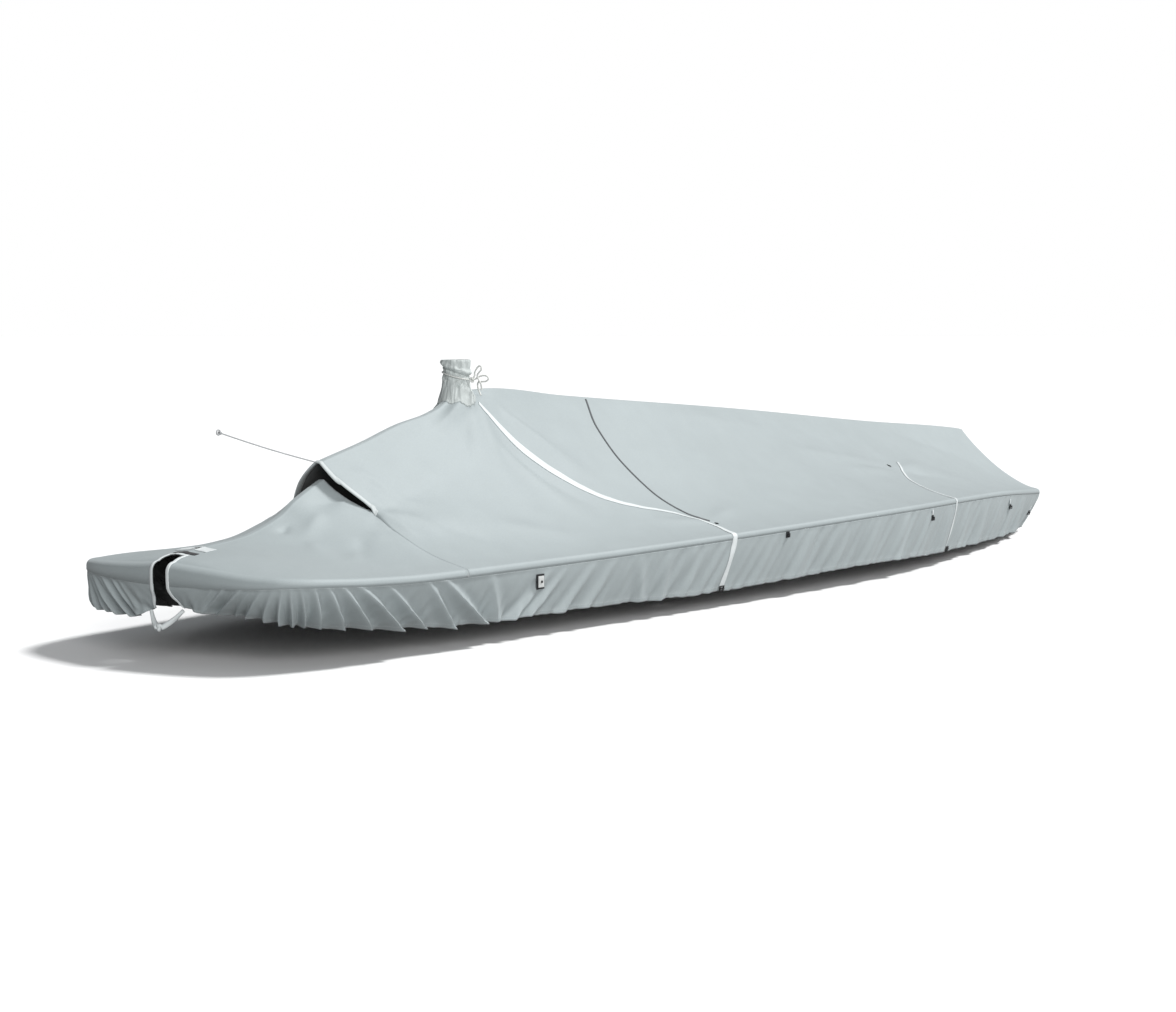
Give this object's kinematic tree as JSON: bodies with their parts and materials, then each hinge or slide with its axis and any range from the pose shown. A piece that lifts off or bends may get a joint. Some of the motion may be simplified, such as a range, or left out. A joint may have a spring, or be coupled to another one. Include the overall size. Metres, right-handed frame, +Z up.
{
  "type": "boat cover",
  "caption": "Fitted mast-up boat cover with a high ridge, gathered skirts, a lashed collar, a vent hood, closure tapes and skirt hooks.",
  "frame": {"origin": "on the axis of the collar, just under the cloth where the collar leaves the ridge: the top of the mount covered_boat", "axes": "+X aft along the cover to its stern end, +Y to starboard, +Z up"},
  "size_m": [6.1116, 1.76, 0.9953],
  "materials": {
    "cover_cloth": "coated woven cloth, matt",
    "collar_cloth": "coated woven cloth, matt",
    "white_tape": "woven tape",
    "light_binding": "woven binding",
    "dark_cord": "covered cord",
    "black_plastic": "moulded, matt",
    "pale_plastic": "moulded, satin",
    "light_line": "braided line"
  },
  "bodies": {
    "root": {"bow_panel": "cover_cloth", "bow_strap": "black_plastic", "collar": "collar_cloth", "collar_drawcord": "light_line", "collar_knot": "light_line", "collar_tie_lower": "light_line", "collar_tie_upper": "light_line", "corded_seam_port": "dark_cord", "corded_seam_starboard": "dark_cord", "hem_knot": "white_tape", "hem_strap_port": "white_tape", "hem_strap_starboard": "white_tape", "hook_loop_port_2": "white_tape", "hook_loop_port_3": "white_tape", "hook_loop_port_4": "white_tape", "hook_loop_starboard_2": "white_tape", "hook_loop_starboard_3": "white_tape", "hook_loop_starboard_4": "white_tape", "hook_port_1": "black_plastic", "hook_port_2": "black_plastic", "hook_port_3": "black_plastic", "hook_port_4": "black_plastic", "hook_starboard_1": "black_plastic", "hook_starboard_2": "black_plastic", "hook_starboard_3": "black_plastic", "hook_starboard_4": "black_plastic", "notch_binding": "white_tape", "plate_face_port": "pale_plastic", "plate_face_starboard": "pale_plastic", "plate_frame_port": "black_plastic", "plate_frame_starboard": "black_plastic", "plate_stud_port": "black_plastic", "plate_stud_starboard": "black_plastic", "rear_buckle_port": "black_plastic", "rear_tape_port": "white_tape", "side_buckle_port": "black_plastic", "side_buckle_starboard": "black_plastic", "side_tape_port": "white_tape", "side_tape_starboard": "white_tape", "skirt_port": "cover_cloth", "skirt_starboard": "cover_cloth", "slot_patch": "white_tape", "top_panel_port": "cover_cloth", "top_panel_starboard": "cover_cloth", "transom_panel": "cover_cloth", "vent_binding": "light_binding", "vent_hitch": "light_line", "vent_line": "light_line"}
  },
  "joints": []
}
